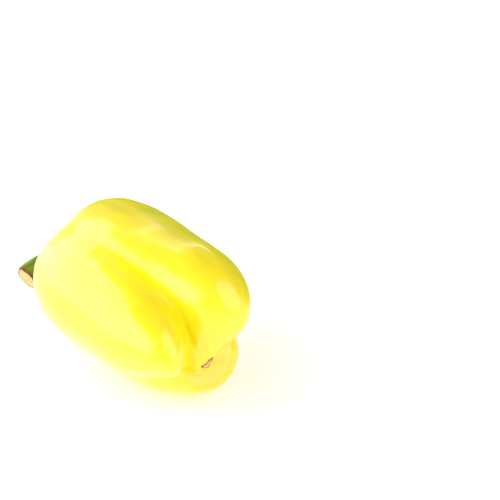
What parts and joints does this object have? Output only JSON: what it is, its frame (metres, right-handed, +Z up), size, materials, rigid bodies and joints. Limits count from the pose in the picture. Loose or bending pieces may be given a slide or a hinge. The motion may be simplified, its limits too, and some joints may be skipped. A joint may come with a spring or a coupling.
{
  "type": "bell pepper",
  "caption": "Yellow bell pepper with lobed flesh, a green calyx and a bent cut stem, lying on its side on a small flat spot.",
  "frame": {"origin": "middle of the underside of the whole pepper, on the plane that it lies on", "axes": "+X along the fruit's axis from the stem end to the blossom end, +Y to the side away from the bent stem, +Z up as the pepper lies"},
  "size_m": [0.1176, 0.073, 0.0728],
  "materials": {
    "fruit_skin": "waxy gloss",
    "calyx_green": "satin",
    "stem_green": "satin",
    "scar_brown": "dry and matt"
  },
  "bodies": {
    "root": {"fruit": "fruit_skin", "calyx": "calyx_green", "stem": "stem_green", "blossom_scar": "scar_brown"}
  },
  "joints": []
}
